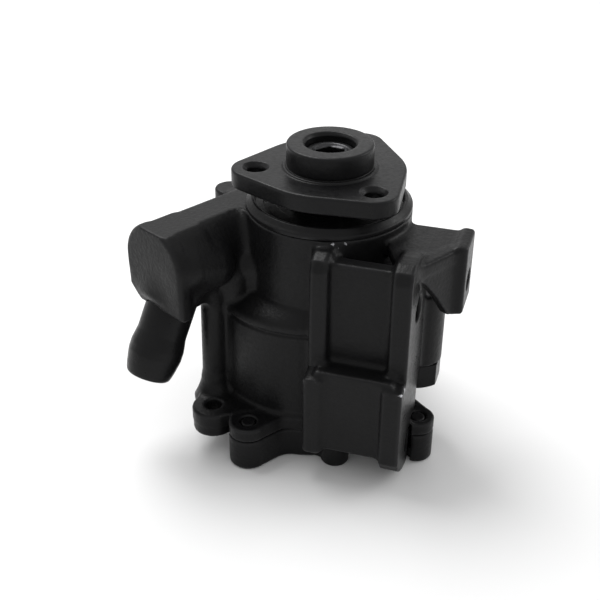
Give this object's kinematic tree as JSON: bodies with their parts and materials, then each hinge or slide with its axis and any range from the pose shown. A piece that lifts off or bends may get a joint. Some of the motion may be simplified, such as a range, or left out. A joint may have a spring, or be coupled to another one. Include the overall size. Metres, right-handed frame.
{
  "type": "power steering pump",
  "caption": "Belt-driven vane pump in black paint with a three-lobed drive flange, a plate bracket, a side ear, an inlet boss with a hose stub and a screwed rear cover.",
  "frame": {"origin": "centre of the rear cover's flat outer face, on the shaft axis", "axes": "+Z along the shaft towards the drive flange, +X out of the bracket's bolted face"},
  "size_m": [0.1214, 0.1008, 0.116],
  "materials": {
    "black_paint": "satin black paint over a casting",
    "flange_paint": "satin black paint over machined steel",
    "ground_steel": "ground",
    "dark_steel": "hardened",
    "spring_steel": "oiled",
    "cast_iron": "sintered, ground faces",
    "brass": "bronze",
    "rubber": "smooth"
  },
  "bodies": {
    "case": {"housing": "black_paint", "rear_cover": "black_paint", "bearing_retainer": "black_paint", "inlet_tube": "black_paint", "cover_screw_1": "black_paint", "cover_screw_2": "black_paint", "cover_screw_3": "black_paint", "cover_screw_4": "black_paint", "cover_o_ring": "rubber", "bearing_outer_ring": "ground_steel", "shaft_seal": "rubber", "rear_bush": "brass", "cam_ring": "cast_iron", "front_port_plate": "cast_iron", "pressure_plate": "cast_iron", "pressure_plate_o_ring": "rubber", "pressure_plate_spring": "spring_steel", "dowel_pin_1": "ground_steel", "dowel_pin_2": "ground_steel", "valve_spring": "spring_steel", "valve_plug": "black_paint", "valve_plug_o_ring": "rubber"},
    "drive_shaft": {"drive_flange": "flange_paint", "shaft": "ground_steel", "bearing_inner_ring": "ground_steel", "shaft_circlip": "spring_steel", "rotor": "dark_steel", "rotor_circlip": "spring_steel"},
    "ball_set": {"bearing_cage": "brass", "bearing_ball_1": "ground_steel", "bearing_ball_2": "ground_steel", "bearing_ball_3": "ground_steel", "bearing_ball_4": "ground_steel", "bearing_ball_5": "ground_steel", "bearing_ball_6": "ground_steel", "bearing_ball_7": "ground_steel", "bearing_ball_8": "ground_steel"},
    "flow_spool": {"valve_spool": "ground_steel", "relief_seat": "brass", "relief_spring": "spring_steel"},
    "relief_ball": {"relief_ball": "ground_steel"},
    "vane_1": {"vane_1": "ground_steel"},
    "vane_2": {"vane_2": "ground_steel"},
    "vane_3": {"vane_3": "ground_steel"},
    "vane_4": {"vane_4": "ground_steel"},
    "vane_5": {"vane_5": "ground_steel"},
    "vane_6": {"vane_6": "ground_steel"},
    "vane_7": {"vane_7": "ground_steel"},
    "vane_8": {"vane_8": "ground_steel"},
    "vane_9": {"vane_9": "ground_steel"},
    "vane_10": {"vane_10": "ground_steel"}
  },
  "joints": [
    {"name": "shaft_spin", "type": "hinge", "parent": "case", "child": "drive_shaft", "pos_m": [0, 0, 0.05], "axis": [0, 0, 1], "continuous": true},
    {"name": "ball_set_roll", "type": "hinge", "parent": "case", "child": "ball_set", "pos_m": [0, 0, 0.083], "axis": [0, 0, 1], "continuous": true},
    {"name": "flow_spool_slide", "type": "slide", "parent": "case", "child": "flow_spool", "axis": [0, 0, -1], "range_m": [0, 0.004], "stiffness_N_per_m": 1500, "springref_m": -0.002, "deforming": ["valve_spring"]},
    {"name": "relief_ball_slide", "type": "slide", "parent": "flow_spool", "child": "relief_ball", "axis": [0, 0, 1], "range_m": [0, 0.0008], "stiffness_N_per_m": 1000, "springref_m": -0.0005, "deforming": ["relief_spring"]},
    {"name": "vane_1_slide", "type": "slide", "parent": "drive_shaft", "child": "vane_1", "axis": [0.9511, 0.309, 0], "range_m": [0, 0.0005]},
    {"name": "vane_2_slide", "type": "slide", "parent": "drive_shaft", "child": "vane_2", "axis": [0.5878, 0.809, 0], "range_m": [0, 0.002]},
    {"name": "vane_3_slide", "type": "slide", "parent": "drive_shaft", "child": "vane_3", "axis": [0, 1, 0], "range_m": [0, 0.0029]},
    {"name": "vane_4_slide", "type": "slide", "parent": "drive_shaft", "child": "vane_4", "axis": [-0.5878, 0.809, 0], "range_m": [0, 0.002]},
    {"name": "vane_5_slide", "type": "slide", "parent": "drive_shaft", "child": "vane_5", "axis": [-0.9511, 0.309, 0], "range_m": [0, 0.0005]},
    {"name": "vane_6_slide", "type": "slide", "parent": "drive_shaft", "child": "vane_6", "axis": [-0.9511, -0.309, 0], "range_m": [0, 0.0005]},
    {"name": "vane_7_slide", "type": "slide", "parent": "drive_shaft", "child": "vane_7", "axis": [-0.5878, -0.809, 0], "range_m": [0, 0.002]},
    {"name": "vane_8_slide", "type": "slide", "parent": "drive_shaft", "child": "vane_8", "axis": [0, -1, 0], "range_m": [0, 0.0029]},
    {"name": "vane_9_slide", "type": "slide", "parent": "drive_shaft", "child": "vane_9", "axis": [0.5878, -0.809, 0], "range_m": [0, 0.002]},
    {"name": "vane_10_slide", "type": "slide", "parent": "drive_shaft", "child": "vane_10", "axis": [0.9511, -0.309, 0], "range_m": [0, 0.0005]}
  ],
  "couplings": [
    {"joint": "ball_set_roll", "follows": "shaft_spin", "ratio": 0.3821}
  ]
}
